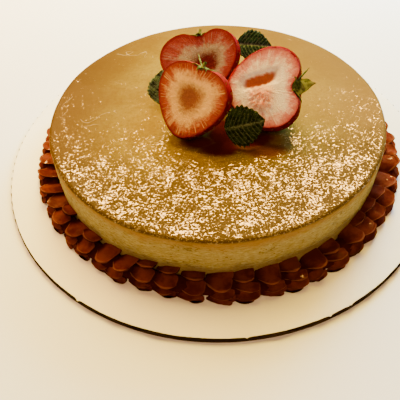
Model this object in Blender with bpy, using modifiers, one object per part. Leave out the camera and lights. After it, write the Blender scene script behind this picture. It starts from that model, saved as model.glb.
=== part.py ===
"""A round leche flan on its card cake board.

A custard disc with a caramel top stands on a white board. A border of dulce de leche shells is
piped round its foot, and three strawberry halves lie on the middle of it with four mint leaves.

Metres, +Z up. The origin is the middle of the board's underside, and the front is -Y.
"""

import math
import random

import bmesh
import bpy
from mathutils import Euler, Matrix, Vector

GAP = 0.0003

# Board: a card round
BOARD_RADIUS = 0.1524
BOARD_THICKNESS = 0.004
BOARD_EDGE_BEVEL = 0.0004
BOARD_SIDES = 84

# Flan: turned out of a round tin, so it is a little wider at its foot
FLAN_RADIUS = 0.1143
FLAN_HEIGHT = 0.0344
FLAN_FOOT_SPREAD = 0.0023
FLAN_RIM_ROUND = 0.0030
FLAN_FOOT_ROUND = 0.0012
FLAN_SIDES = 72
FLAN_ARC_STEPS = 3

# Border: shells piped end to end in one ring, each with ridges stacked like steps
SHELL_COUNT = 54
SHELL_REACH = 0.0156
SHELL_HEIGHT = 0.0108
SHELL_WALL_TOUCH = 0.0056
SHELL_RIDGES = 3
SHELL_RIDGE_TOP = math.radians(62)
SHELL_RIDGE_FOOT = math.radians(13)
SHELL_UNDERCUT = 0.86
SHELL_UNDERCUT_DROP = math.radians(7)
SHELL_FOOT = 0.90
# (share of the way along a shell, how far it has swelled): a thin tail, then a full blunt end
SHELL_SWELL = ((0.0, 0.68), (0.32, 0.88), (0.74, 1.0), (0.95, 0.84))
SHELL_UNEVEN = 0.07
SHELL_SEED = 54

# Fruit: stalk end on local +Z. The cut face is square to local -Y and a little in front of the
# core, so that each piece is rather more than a half. Angles are in degrees.
BERRY_SEGMENTS = 26
BERRY_RINGS = 13
BERRIES = {
    "front": {
        "size": (0.046, 0.018, 0.0485),
        "shoulder": 0.30,
        "dimple": 0.11,
        "cut": 0.005,
        "middle": (-0.014, -0.025, 0.0217),
        "spin": 8,
        "lean": 35,
        "yaw": -26,
    },
    "right": {
        "size": (0.051, 0.018, 0.051),
        "shoulder": 0.20,
        "dimple": 0.29,
        "cut": 0.007,
        "middle": (0.032, -0.015, 0.0223),
        "spin": 75,
        "lean": 43,
        "yaw": -23,
    },
    "back": {
        "size": (0.058, 0.023, 0.0465),
        "shoulder": 0.30,
        "dimple": 0.15,
        "cut": 0.006,
        "middle": (-0.0075, 0.017, 0.0216),
        "spin": -18,
        "lean": 41,
        "yaw": -21,
    },
}
DIMPLE_SPREAD = 0.34
# The open core of the right-hand berry
CORE_HOLLOW = (0.0034, 0.0042, 0.0106)
CORE_HOLLOW_PLACE = (-0.0053, -0.0070, -0.0028)
CORE_HOLLOW_TURN = math.radians(-3)

# Green crowns on the fruit
CROWN_SEPALS = 8
CROWN_SEGMENTS = 40
CROWN_RINGS = 5
CROWN_RADIUS = 0.0125
CROWN_HUB = 0.34
CROWN_THICKNESS = 0.0012
CROWN_CURL = 0.0052

# Mint leaves: each lies from its stalk to its tip, with its upper side towards the facing
LEAF_STEPS = 16
LEAF_ROWS = 4
LEAF_THICKNESS = 0.0006
LEAF_TEETH = 8
LEAF_TOOTH_DEPTH = 0.07
LEAVES = {
    "front": {
        "width": 0.0262,
        "stalk": (0.0062, -0.0380, 0.0108),
        "tip": (0.0305, -0.0375, 0.0157),
        "facing": (-0.04, -0.92, 0.38),
        "curl": -0.0020,
        "fold": 0.0020,
    },
    "back": {
        "width": 0.0220,
        "stalk": (0.0165, 0.0440, 0.0205),
        "tip": (0.0407, 0.0388, 0.0220),
        "facing": (0.10, -0.60, 0.79),
        "curl": -0.0025,
        "fold": 0.0020,
    },
    "left": {
        "width": 0.0215,
        "stalk": (-0.0365, -0.0005, 0.0020),
        "tip": (-0.0355, 0.0118, 0.0210),
        "facing": (-0.30, -0.80, 0.50),
        "curl": -0.0020,
        "fold": 0.0015,
    },
}

FLAN_BASE = BOARD_THICKNESS + GAP
FLAN_TOP = FLAN_BASE + FLAN_HEIGHT


def clear_scene():
    for old in list(bpy.data.objects):
        bpy.data.objects.remove(old)


def collection(name):
    made = bpy.data.collections.new(name)
    bpy.context.scene.collection.children.link(made)
    return made


def material(name, colour, roughness):
    made = bpy.data.materials.new(name)
    made.use_nodes = True
    shader = made.node_tree.nodes["Principled BSDF"]
    shader.inputs["Base Color"].default_value = (*colour, 1.0)
    shader.inputs["Roughness"].default_value = roughness
    return made


def add_object(name, shape, finish, home):
    """Makes an object from a bmesh, smooth but for its sharp edges."""
    mesh = bpy.data.meshes.new(name)
    shape.to_mesh(mesh)
    shape.free()
    mesh.shade_smooth()
    mesh.set_sharp_from_angle(angle=math.radians(40))
    mesh.materials.append(finish)
    made = bpy.data.objects.new(name, mesh)
    home.objects.link(made)
    return made


def turn_about_z(made, steps):
    screw = made.modifiers.new("Turned", "SCREW")
    screw.axis = "Z"
    screw.steps = steps
    screw.render_steps = steps
    screw.use_merge_vertices = True
    screw.merge_threshold = 0.00005
    screw.use_smooth_shade = True


def arc(centre, radius, start, end, steps):
    """Points of an arc in the XZ plane, angles in degrees from +X towards +Z."""
    angles = [math.radians(start + (end - start) * i / steps) for i in range(steps + 1)]
    return [(centre[0] + radius * math.cos(a), centre[1] + radius * math.sin(a)) for a in angles]


def build_board(home):
    shape = bmesh.new()
    bmesh.ops.create_cone(
        shape,
        cap_ends=True,
        segments=BOARD_SIDES,
        radius1=BOARD_RADIUS,
        radius2=BOARD_RADIUS,
        depth=BOARD_THICKNESS,
    )
    board = add_object("cake_board", shape, material("board", (0.86, 0.84, 0.80), 0.35), home)
    board.location.z = BOARD_THICKNESS / 2
    bevel = board.modifiers.new("Pressed edge", "BEVEL")
    bevel.width = BOARD_EDGE_BEVEL
    bevel.segments = 1
    bevel.limit_method = "ANGLE"
    return board


def build_flan(home):
    foot = FLAN_RADIUS + FLAN_FOOT_SPREAD
    rim = arc(
        (FLAN_RADIUS - FLAN_RIM_ROUND, FLAN_TOP - FLAN_RIM_ROUND), FLAN_RIM_ROUND, 90, 0, FLAN_ARC_STEPS
    )
    heel = arc(
        (foot - FLAN_FOOT_ROUND, FLAN_BASE + FLAN_FOOT_ROUND), FLAN_FOOT_ROUND, 0, -90, FLAN_ARC_STEPS
    )
    outline = [(0, FLAN_TOP), *rim, *heel, (0, FLAN_BASE)]
    shape = bmesh.new()
    points = [shape.verts.new((x, 0, z)) for x, z in outline]
    for a, b in zip(points, points[1:]):
        shape.edges.new((a, b))
    flan = add_object("flan", shape, material("flan", (0.62, 0.36, 0.10), 0.25), home)
    turn_about_z(flan, FLAN_SIDES)
    return flan


def shell_section(swell, reach):
    """One section through the border: (distance from the flan's foot, height above the board)."""
    out = SHELL_REACH * swell * reach
    up = SHELL_HEIGHT * swell
    section = [(0.0, 0.0), (0.0, SHELL_WALL_TOUCH * swell)]
    step = (SHELL_RIDGE_TOP - SHELL_RIDGE_FOOT) / (SHELL_RIDGES - 1)
    for ridge in range(SHELL_RIDGES):
        crest = SHELL_RIDGE_TOP - step * ridge
        under = crest - SHELL_UNDERCUT_DROP
        section.append((out * math.cos(crest), up * math.sin(crest)))
        section.append((out * SHELL_UNDERCUT * math.cos(under), up * SHELL_UNDERCUT * math.sin(under)))
    section.append((out * SHELL_FOOT, 0.0))
    return section[::-1]


def build_border(home):
    """A torus, each of whose vertices is moved to its place on a shell."""
    uneven = random.Random(SHELL_SEED)
    sections = []
    for _ in range(SHELL_COUNT):
        size = 1 + uneven.uniform(-SHELL_UNEVEN, SHELL_UNEVEN)
        reach = 1 + uneven.uniform(-SHELL_UNEVEN, SHELL_UNEVEN) / 2
        sections += [(share, shell_section(swell * size, reach)) for share, swell in SHELL_SWELL]
    around, across = len(sections), len(sections[0][1])
    bpy.ops.mesh.primitive_torus_add(major_segments=around, minor_segments=across)
    torus = bpy.context.object
    shape = bmesh.new()
    shape.from_mesh(torus.data)
    bpy.data.objects.remove(torus)
    inner = FLAN_RADIUS + FLAN_FOOT_SPREAD + GAP
    shape.verts.ensure_lookup_table()
    for place, point in enumerate(shape.verts):
        station, corner = divmod(place, across)
        share, section = sections[station]
        angle = math.tau * (station // len(SHELL_SWELL) + share) / SHELL_COUNT
        out, up = section[corner]
        radius = inner + out
        point.co = (radius * math.cos(angle), radius * math.sin(angle), FLAN_BASE + up)
    return add_object("piped_border", shape, material("dulce_de_leche", (0.20, 0.06, 0.02), 0.3), home)


def berry_point(berry, polar, angle):
    """A point on a berry's skin: polar runs from 0 at the stalk end to pi at the tip."""
    width, depth, length = berry["size"]
    ring = math.sin(polar) * (1 + berry["shoulder"] * math.cos(polar))
    height = math.cos(polar)
    if polar < math.pi / 2:
        height -= berry["dimple"] * math.exp(-((math.sin(polar) / DIMPLE_SPREAD) ** 2))
    return Vector(
        (width / 2 * ring * math.cos(angle), depth * ring * math.sin(angle), length / 2 * height)
    )


def cut_off_front(shape, berry):
    """Keeps what is behind the berry's cut face and closes it."""
    everything = [*shape.verts, *shape.edges, *shape.faces]
    bmesh.ops.bisect_plane(
        shape,
        geom=everything,
        dist=1e-7,
        plane_co=(0, -berry["cut"], 0),
        plane_no=(0, -1, 0),
        clear_outer=True,
    )
    bmesh.ops.holes_fill(shape, edges=[e for e in shape.edges if e.is_boundary])


def berry_pose(made, berry):
    """Places an object of a berry's own frame where the berry lies on the flan."""
    x, y, z = berry["middle"]
    made.rotation_mode = "YXZ"
    made.rotation_euler = Euler(
        (-math.radians(berry["lean"]), math.radians(berry["spin"]), math.radians(berry["yaw"])), "YXZ"
    )
    made.location = (x, y, FLAN_TOP + z)


def build_berry(name, berry, finish, home):
    shape = bmesh.new()
    bmesh.ops.create_uvsphere(shape, u_segments=BERRY_SEGMENTS, v_segments=BERRY_RINGS, radius=1)
    for point in shape.verts:
        polar = math.acos(max(-1, min(1, point.co.z)))
        point.co = berry_point(berry, polar, math.atan2(point.co.y, point.co.x))
    cut_off_front(shape, berry)
    half = add_object(f"strawberry_{name}", shape, finish, home)
    berry_pose(half, berry)
    return half


def build_hollow(berry, half, cutters):
    """Scoops the open core out of a half's cut face."""
    shape = bmesh.new()
    bmesh.ops.create_uvsphere(shape, u_segments=14, v_segments=8, radius=1)
    turn = Euler((0, CORE_HOLLOW_TURN, 0)).to_matrix()
    for point in shape.verts:
        scaled = Vector([c * s for c, s in zip(point.co, CORE_HOLLOW)])
        point.co = turn @ scaled + Vector(CORE_HOLLOW_PLACE)
    scoop = add_object("core_scoop", shape, half.data.materials[0], cutters)
    berry_pose(scoop, berry)
    scoop.hide_render = True
    scoop.display_type = "WIRE"
    cut = half.modifiers.new("Open core", "BOOLEAN")
    cut.operation = "DIFFERENCE"
    cut.object = scoop


def build_crown(name, berry, finish, home):
    """A star of sepals that follows the berry's shoulders and curls off them."""
    shoulder = berry["size"][0] / 2 * (1 + berry["shoulder"])
    shape = bmesh.new()
    bmesh.ops.create_uvsphere(shape, u_segments=CROWN_SEGMENTS, v_segments=CROWN_RINGS, radius=1)
    for point in shape.verts:
        layer = max(-1, min(1, point.co.z))
        across = math.sqrt(1 - layer * layer)
        angle = math.atan2(point.co.y, point.co.x)
        star = CROWN_HUB + (1 - CROWN_HUB) * abs(math.cos(CROWN_SEPALS * angle / 2)) ** 1.5
        along = across * star
        on_skin = berry_point(berry, math.asin(CROWN_RADIUS * along / shoulder), angle)
        outwards = (on_skin - Vector((0, 0, 0.25 * berry["size"][2]))).normalized()
        lift = GAP + CROWN_CURL * along**2 + CROWN_THICKNESS * (1 + layer) / 2
        point.co = on_skin + outwards * lift
    cut_off_front(shape, berry)
    crown = add_object(f"crown_{name}", shape, finish, home)
    berry_pose(crown, berry)
    return crown


def leaf_turn(stalk, tip, facing):
    along = (tip - stalk).normalized()
    across = Vector(facing).cross(along).normalized()
    upper = along.cross(across)
    return Matrix((along, across, upper)).transposed().to_euler()


def build_leaf(name, leaf, finish, home):
    """A leaf from a grid: a toothed outline, a fold along its middle and a curl to its tip."""
    stalk, tip = Vector(leaf["stalk"]), Vector(leaf["tip"])
    length, width = (tip - stalk).length, leaf["width"]
    shape = bmesh.new()
    bmesh.ops.create_grid(shape, x_segments=LEAF_STEPS, y_segments=LEAF_ROWS, size=0.5)
    for point in shape.verts:
        along = point.co.x + 0.5
        side = 2 * point.co.y
        broad = math.sin(math.pi * along**0.8) ** 0.75 if 0.01 < along < 0.99 else 0.04
        tooth = 1 + LEAF_TOOTH_DEPTH * math.cos(math.tau * LEAF_TEETH * along)
        point.co = (
            length * along,
            width / 2 * side * broad * tooth,
            leaf["curl"] * along**2 + leaf["fold"] * abs(side) * broad,
        )
    made = add_object(f"mint_leaf_{name}", shape, finish, home)
    solid = made.modifiers.new("Blade", "SOLIDIFY")
    solid.thickness = LEAF_THICKNESS
    made.rotation_euler = leaf_turn(stalk, tip, leaf["facing"])
    made.location = stalk + Vector((0, 0, FLAN_TOP))
    return made


def main():
    clear_scene()
    home = collection("leche_flan")
    cutters = collection("cutters")
    build_board(home)
    build_flan(home)
    build_border(home)
    flesh = material("strawberry", (0.70, 0.12, 0.06), 0.3)
    sepal = material("crown", (0.20, 0.26, 0.07), 0.6)
    mint = material("mint", (0.04, 0.12, 0.03), 0.5)
    for name, berry in BERRIES.items():
        half = build_berry(name, berry, flesh, home)
        if name == "right":
            build_hollow(berry, half, cutters)
        build_crown(name, berry, sepal, home)
    for name, leaf in LEAVES.items():
        build_leaf(name, leaf, mint, home)


main()
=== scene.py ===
"""Looks of a round leche flan: caramel-skinned custard on a corrugated card board, a piped border of
dulce de leche shells, and strawberry pieces with mint leaves on top. Metres, +Z up, front at -Y."""

import math
import random

import bmesh
import bpy
import numpy as np
from mathutils import Matrix, Vector, noise


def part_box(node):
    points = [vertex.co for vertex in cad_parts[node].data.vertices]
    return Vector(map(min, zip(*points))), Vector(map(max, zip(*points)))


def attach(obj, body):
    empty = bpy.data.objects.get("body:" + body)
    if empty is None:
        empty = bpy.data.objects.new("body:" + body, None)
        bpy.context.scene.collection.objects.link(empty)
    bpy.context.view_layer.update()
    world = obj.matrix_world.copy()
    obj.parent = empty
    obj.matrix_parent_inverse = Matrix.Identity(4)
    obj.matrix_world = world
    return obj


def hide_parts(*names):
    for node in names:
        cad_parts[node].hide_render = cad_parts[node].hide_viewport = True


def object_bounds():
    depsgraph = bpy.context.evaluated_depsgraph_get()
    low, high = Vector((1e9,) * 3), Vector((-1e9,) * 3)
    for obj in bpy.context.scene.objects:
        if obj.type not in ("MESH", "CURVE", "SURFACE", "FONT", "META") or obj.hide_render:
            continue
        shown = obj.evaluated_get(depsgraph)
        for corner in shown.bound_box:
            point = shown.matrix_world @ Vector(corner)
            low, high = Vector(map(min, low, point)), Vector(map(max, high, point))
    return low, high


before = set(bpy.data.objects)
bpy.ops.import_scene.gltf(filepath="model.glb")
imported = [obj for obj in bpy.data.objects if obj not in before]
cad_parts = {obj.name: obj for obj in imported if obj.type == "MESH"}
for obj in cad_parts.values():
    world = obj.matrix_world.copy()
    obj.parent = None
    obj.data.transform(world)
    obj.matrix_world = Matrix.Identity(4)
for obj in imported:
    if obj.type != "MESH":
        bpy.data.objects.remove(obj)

CAD_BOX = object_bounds()
MM = 0.001

BOARD_LOW, BOARD_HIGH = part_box("cake_board")
FLAN_LOW, FLAN_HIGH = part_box("flan")
BOARD_TOP = BOARD_HIGH[2]
FLAN_TOP = FLAN_HIGH[2]
FLAN_FOOT_RADIUS = (FLAN_HIGH[0] - FLAN_LOW[0]) / 2
FLAN_RIM_RADIUS = FLAN_FOOT_RADIUS - 2.3 * MM
# Where berry juices and painted shade darken the skin under the berries: middle across, middle along, half
# width, half depth, how dark
JUICE_AND_SHADE = (
    (3 * MM, -44 * MM, 15 * MM, 8 * MM, 0.97),
    (6 * MM, -30 * MM, 13 * MM, 18 * MM, 0.97),
    (-10 * MM, -38 * MM, 13 * MM, 7 * MM, 0.90),
    (24 * MM, -36 * MM, 16 * MM, 9 * MM, 0.97),
    (30 * MM, -46 * MM, 17 * MM, 8 * MM, 0.60),
)


# ---- Working with operators ----------------------------------------------------------------------


def deselect_all():
    if bpy.context.object and bpy.context.object.mode != "OBJECT":
        bpy.ops.object.mode_set(mode="OBJECT")
    bpy.ops.object.select_all(action="DESELECT")


def only(made):
    deselect_all()
    made.select_set(True)
    bpy.context.view_layer.objects.active = made


def edit(made, domain="VERT"):
    only(made)
    bpy.ops.object.mode_set(mode="EDIT")
    bpy.ops.mesh.select_mode(type=domain)
    bpy.ops.mesh.select_all(action="DESELECT")


def pick(made, domain, wanted):
    """Selects, in edit mode, the vertices, edges or faces whose middle passes a test."""
    bpy.ops.mesh.select_mode(type=domain)
    bpy.ops.mesh.select_all(action="DESELECT")
    shape = bmesh.from_edit_mesh(made.data)
    items = {"VERT": shape.verts, "EDGE": shape.edges, "FACE": shape.faces}[domain]
    for item in items:
        item.select_set(bool(wanted(item)))
    shape.select_flush_mode()
    bmesh.update_edit_mesh(made.data)


def apply_modifier(made, name, kind, **settings):
    only(made)
    modifier = made.modifiers.new(name, kind)
    for key, value in settings.items():
        setattr(modifier, key, value)
    bpy.ops.object.modifier_apply(modifier=name)


def finish_piece(made, name, slot, *replaced, angle=40):
    """Gives a piece its name, hangs it on the root body, and hides the solids it stands for."""
    only(made)
    bpy.ops.object.transform_apply(location=True, rotation=True, scale=True)
    bpy.ops.object.shade_smooth_by_angle(angle=math.radians(angle))
    made.name = made.data.name = name
    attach(made, "root")
    if replaced:
        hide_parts(*replaced)
    return made


# ---- Shaping by rule -----------------------------------------------------------------------------


def vertices_of(made):
    places = np.empty(len(made.data.vertices) * 3)
    made.data.vertices.foreach_get("co", places)
    return places.reshape(-1, 3)


def move_vertices(made, places):
    made.data.vertices.foreach_set("co", np.ascontiguousarray(places, dtype=np.float64).ravel())
    made.data.update()


def paint(made, name, values, kind="FLOAT"):
    """Keeps a number, or a place, on every vertex for the finish to read."""
    layer = made.data.attributes.new(name, kind, "POINT")
    numbers = np.ascontiguousarray(values, dtype=np.float32).ravel()
    layer.data.foreach_set("value" if kind == "FLOAT" else "vector", numbers)


def smooth_step(value, low, high):
    share = np.clip((value - low) / (high - low), 0, 1)
    return share * share * (3 - 2 * share)


def roughness_at(places, size, seed=0.0):
    """Smooth random heights, about -1 to 1, at each place."""
    return np.array([noise.noise(Vector(p) / size + Vector((seed, 2 * seed, -seed))) for p in places])


def join_all(pieces):
    deselect_all()
    for piece in pieces:
        piece.select_set(True)
    bpy.context.view_layer.objects.active = pieces[0]
    bpy.ops.object.join()
    return bpy.context.object


def copy_of(made):
    twin = made.copy()
    twin.data = made.data.copy()
    bpy.context.scene.collection.objects.link(twin)
    return twin


def clouds(made, *layers):
    """Swells and dips a surface; each layer has a name, the size of its lumps and their height."""
    for name, size, strength in layers:
        cloud = bpy.data.textures.new(name, "CLOUDS")
        cloud.noise_scale = size
        cloud.noise_depth = 2
        placed = dict(texture=cloud, texture_coords="LOCAL", mid_level=0.5)
        apply_modifier(made, name, "DISPLACE", strength=strength, **placed)


# ---- Finishes ------------------------------------------------------------------------------------


class Finish:
    """A material being mixed: each method adds one node and gives its output."""

    def __init__(self, name, **sockets):
        self.material = bpy.data.materials.new(name)
        self.material.use_nodes = True
        self.tree = self.material.node_tree
        self.shader = self.tree.nodes["Principled BSDF"]
        self.set(**sockets)

    def set(self, **sockets):
        for key, value in sockets.items():
            self.join(self.shader.inputs[key.replace("_", " ").title().replace("Ior", "IOR")], value)

    def join(self, socket, value):
        if isinstance(value, bpy.types.NodeSocket):
            self.tree.links.new(value, socket)
        elif isinstance(value, tuple) and len(value) == 3 and socket.type == "RGBA":
            socket.default_value = (*value, 1.0)
        else:
            socket.default_value = value

    def node(self, kind, *inputs, **settings):
        made = self.tree.nodes.new("ShaderNode" + kind)
        for key, value in settings.items():
            setattr(made, key, value)
        for socket, value in zip(made.inputs, inputs):
            if value is not None:
                self.join(socket, value)
        return made

    def place(self, scale=(1, 1, 1), turn=(0, 0, 0)):
        where = self.node("TexCoord").outputs["Object"]
        return self.node("Mapping", where, (0, 0, 0), turn, scale).outputs[0]

    def noise(self, size, detail=2.0, rough=0.5, scale=(1, 1, 1), distort=0.0, where=None):
        made = self.node("TexNoise")
        self.join(made.inputs["Vector"], where or self.place(scale))
        made.inputs["Scale"].default_value = 1 / size
        made.inputs["Detail"].default_value = detail
        made.inputs["Roughness"].default_value = rough
        made.inputs["Distortion"].default_value = distort
        return made.outputs["Fac"]

    def ramp(self, value, low, high, start=0.0, end=1.0):
        made = self.node("MapRange", value, low, high, start, end, interpolation_type="SMOOTHSTEP")
        return made.outputs[0]

    def mix(self, share, first, second, blend="MIX"):
        made = self.node("Mix", data_type="RGBA", blend_type=blend)
        colours = [s for s in made.inputs if s.type == "RGBA"]
        self.join(made.inputs["Factor"], share)
        self.join(colours[0], first)
        self.join(colours[1], second)
        return [s for s in made.outputs if s.type == "RGBA"][0]

    def sum(self, operation, *values):
        return self.node("Math", *values, operation=operation).outputs[0]

    def plus(self, first, second):
        return self.sum("ADD", first, second)

    def minus(self, first, second):
        return self.sum("SUBTRACT", first, second)

    def times(self, first, second):
        return self.sum("MULTIPLY", first, second)

    def larger(self, first, second):
        return self.sum("MAXIMUM", first, second)

    def length(self, across, along):
        return self.sum("SQRT", self.plus(self.times(across, across), self.times(along, along)))

    def drift(self, pattern, amount):
        """The pattern, moved to swing to both sides of nought."""
        return self.times(self.minus(pattern, 0.5), amount)

    def thread(self, pattern, width):
        """Thin lines that wander where the pattern passes its middle."""
        return self.ramp(self.sum("ABSOLUTE", self.minus(pattern, 0.5)), 0.0, width, 1.0, 0.0)

    def split(self, vector=None):
        return self.node("SeparateXYZ", vector or self.place()).outputs

    def painted(self, name):
        return self.node("Attribute", attribute_name=name).outputs["Fac"]

    def relief(self, height, depth, under=None):
        made = self.node("Bump")
        self.join(made.inputs["Height"], height)
        self.join(made.inputs["Distance"], depth)
        self.join(made.inputs["Strength"], 1.0)
        if under:
            self.join(made.inputs["Normal"], under)
        return made.outputs["Normal"]


# Skin colours, from the middle outwards and from the left to the right
CARAMEL = dict(
    gold_deep=(0.165, 0.101, 0.008),
    gold_light=(0.222, 0.152, 0.016),
    speck=(0.117, 0.057, 0.008),
    rimward=(0.121, 0.059, 0.010),
    left=(0.070, 0.033, 0.0075),
    # right: painted bluish light from the right
    right=(0.145, 0.090, 0.029),
    crinkled_shaded=(0.048, 0.028, 0.009),
    wrinkle=(0.62, 0.46, 0.22),
    juice_shade_edge=(0.090, 0.036, 0.0070),
    juice_shade=(0.050, 0.0040, 0.0012),
    # painted highlight: a paler colour under the shining flecks
    fleck_highlight=(0.36, 0.24, 0.075),
)
CUSTARD = dict(
    deep=(0.310, 0.232, 0.058),
    light=(0.455, 0.375, 0.128),
    pore=(0.210, 0.115, 0.022),
    crack=(0.150, 0.070, 0.012),
    lightened_low_wall=(0.600, 0.460, 0.150),
    caramel=(0.300, 0.155, 0.022),
)
FLECK = 0.98 * MM
FLECK_CLUSTER = 7 * MM
CRINKLE = 3.2 * MM


def juice_and_shade_pool(mix, x, y):
    """How much of the dark pool under the berries lies at each place, from 0 to 1, with a frayed edge; the
    pool is partly soaked-in berry juices and partly painted shade.
    """
    frayed = mix.drift(mix.noise(8 * MM, 3, 0.6), 0.7)
    pool = 0.0
    for middle_x, middle_y, wide, deep, dark in JUICE_AND_SHADE:
        across = mix.sum("DIVIDE", mix.minus(x, middle_x), wide)
        along = mix.sum("DIVIDE", mix.minus(y, middle_y), deep)
        away = mix.plus(mix.length(across, along), frayed)
        pool = mix.larger(pool, mix.ramp(away, 0.45, 1.20, dark, 0.0))
    return pool


def syrup_flecks(mix, radius, forward):
    """Flecks of syrup shine on the crinkles, in clusters, fewer towards the back, more at the rim."""
    fleck = mix.noise(FLECK, 2, 0.6, scale=(0.80, 1, 1), distort=0.4)
    cluster = mix.drift(mix.noise(FLECK_CLUSTER, 2, 0.6), 0.33)
    near_rim = mix.ramp(radius, 78 * MM, 112 * MM)
    at_rim = mix.times(near_rim, mix.ramp(forward, -45 * MM, 0, 0.0, 0.045))
    at_rim = mix.times(at_rim, mix.ramp(forward, 5 * MM, 60 * MM, 1.0, 0.0))
    sparse = mix.minus(mix.ramp(forward, -10 * MM, 78 * MM, 0.735, 0.583), at_rim)
    return mix.ramp(mix.plus(mix.minus(fleck, sparse), cluster), -0.010, 0.010)


def caramel_skin(mix, x, radius, crinkled_shaded, pool):
    """The skin's colour: golden in the middle, browner at the rim and the left, darker at the crinkly front
    as painted shade and bluer on the right as painted light.
    """
    patch = mix.ramp(mix.noise(38 * MM, 3, 0.6), 0.35, 0.65)
    skin = mix.mix(patch, CARAMEL["gold_deep"], CARAMEL["gold_light"])
    specks = mix.ramp(mix.noise(2.6 * MM, 4, 0.65), 0.40, 0.70, 0.0, 0.45)
    skin = mix.mix(specks, skin, CARAMEL["speck"])
    skin = mix.mix(mix.ramp(radius, 66 * MM, 112 * MM, 0.0, 0.60), skin, CARAMEL["rimward"])
    skin = mix.mix(mix.ramp(x, -112 * MM, -30 * MM, 0.90, 0.0), skin, CARAMEL["left"])
    # Painted light: the right of the skin is tinted bluer for the cool light that falls from the right
    skin = mix.mix(mix.ramp(x, 20 * MM, 100 * MM, 0.0, 0.55), skin, CARAMEL["right"])
    # Painted shade: the crinkly front of the skin is painted darker, as the lamps behind light it less
    skin = mix.mix(mix.times(crinkled_shaded, 0.82), skin, CARAMEL["crinkled_shaded"])
    # A few thin pale wrinkles
    folds = mix.thread(mix.noise(24 * MM, 2, 0.5, distort=0.6), 0.010)
    wrinkles = mix.times(folds, mix.ramp(mix.noise(19 * MM, 1, 0.5), 0.60, 0.66))
    skin = mix.mix(mix.times(wrinkles, 0.25), skin, CARAMEL["wrinkle"])
    # The pools under the berries darken the skin: partly berry juices, partly painted shade
    skin = mix.mix(mix.ramp(pool, 0.0, 0.45), skin, CARAMEL["juice_shade_edge"])
    return mix.mix(mix.ramp(pool, 0.35, 0.95), skin, CARAMEL["juice_shade"])


def custard_wall(mix, z):
    """The wall's colour and its relief: fibres, pores and long shallow cracks."""
    fibre = mix.noise(3.2 * MM, 4, 0.65, scale=(1, 1, 3.5))
    custard = mix.mix(mix.ramp(fibre, 0.35, 0.68), CUSTARD["deep"], CUSTARD["light"])
    pores = mix.noise(1.3 * MM, 2, 0.5, scale=(0.55, 0.55, 2.0))
    # Painted shade: the pores are painted darker as well as dented
    custard = mix.mix(mix.ramp(pores, 0.60, 0.70), custard, CUSTARD["pore"])
    lines = mix.thread(mix.noise(16 * MM, 3, 0.6, scale=(0.8, 0.8, 3.2)), 0.014)
    cracks = mix.times(lines, mix.ramp(mix.noise(13 * MM, 2, 0.5), 0.54, 0.62))
    # Painted shade: the cracks are painted darker as well as dented
    custard = mix.mix(mix.times(cracks, 0.8), custard, CUSTARD["crack"])
    # Paler near the board: painted light that lifts the lower wall out of the shade of the border
    low = mix.ramp(z, BOARD_TOP, BOARD_TOP + 15 * MM, 0.60, 0.0)
    custard = mix.mix(low, custard, CUSTARD["lightened_low_wall"])
    # Caramel runs a little way down from the rim
    run = mix.plus(z, mix.times(mix.noise(15 * MM, 3, 0.6), 11 * MM))
    stain = mix.ramp(run, FLAN_TOP - 4 * MM, FLAN_TOP + 4 * MM, 0, 0.85)
    custard = mix.mix(stain, custard, CUSTARD["caramel"])
    dips = mix.plus(mix.times(pores, 0.8), mix.times(cracks, 0.8))
    return custard, mix.minus(fibre, dips)


def custard_finish():
    """Amber caramel skin on top, crinkly and wet; pale porous custard down the side."""
    gloss = dict(Coat_Roughness=0.04, Coat_IOR=1.45)
    mix = Finish("caramel_custard", Roughness=0.5, Specular_Ior_Level=0.0, **gloss)
    x, y, z = mix.split()
    radius = mix.length(x, y)
    # The skin is crinkly towards the front, and further back on its right; that part is also painted
    # darker, a painted shade
    edge = mix.drift(mix.noise(13 * MM, 3, 0.6), 55 * MM)
    forward = mix.plus(mix.minus(mix.times(x, 0.12), y), edge)
    crinkled_shaded = mix.ramp(forward, 20 * MM, 75 * MM, 0.10, 1.0)
    shiny = syrup_flecks(mix, radius, forward)
    pool = juice_and_shade_pool(mix, x, y)
    outside_pool = mix.minus(1.0, mix.ramp(pool, 0.10, 0.55))
    skin = caramel_skin(mix, x, radius, crinkled_shaded, pool)
    # Painted highlight: the skin is painted paler under the shining flecks, which brightens their glints
    skin = mix.mix(mix.times(shiny, mix.times(outside_pool, 0.5)), skin, CARAMEL["fleck_highlight"])
    custard, wall_height = custard_wall(mix, z)
    on_top = mix.ramp(z, FLAN_TOP - 2.2 * MM, FLAN_TOP - 0.7 * MM)
    mix.set(Base_Color=mix.mix(on_top, custard, skin))
    # Relief: crinkles and slow waves on the skin, which the gloss follows
    crinkles = mix.noise(CRINKLE, 1, 0.5, distort=0.3, scale=(0.72, 1, 1))
    waves = mix.times(mix.noise(9 * MM, 2, 0.5), 1.4)
    skin_height = mix.times(mix.plus(crinkles, waves), mix.times(on_top, crinkled_shaded))
    wall_height = mix.times(wall_height, mix.minus(1.0, on_top))
    mix.set(Normal=mix.relief(wall_height, 1.1 * MM, mix.relief(skin_height, 0.30 * MM)))
    mix.set(Coat_Normal=mix.relief(skin_height, 0.45 * MM))
    # The gloss lies on the flecks outside the pools, and hardly elsewhere; its loss in the pools stands in
    # for the reflection that the berries block
    wet = mix.times(outside_pool, mix.larger(shiny, 0.008))
    mix.set(Coat_Weight=mix.times(mix.ramp(on_top, 0.2, 1.0, 0.10, 1.0), wet))
    return mix.material


# ---- Flan ----------------------------------------------------------------------------------------

FLAN_SIDES = 320
SKIN_RING = 1.3 * MM
WALL_CUTS = 26
RIM_ROUND = 2.4 * MM


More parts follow.
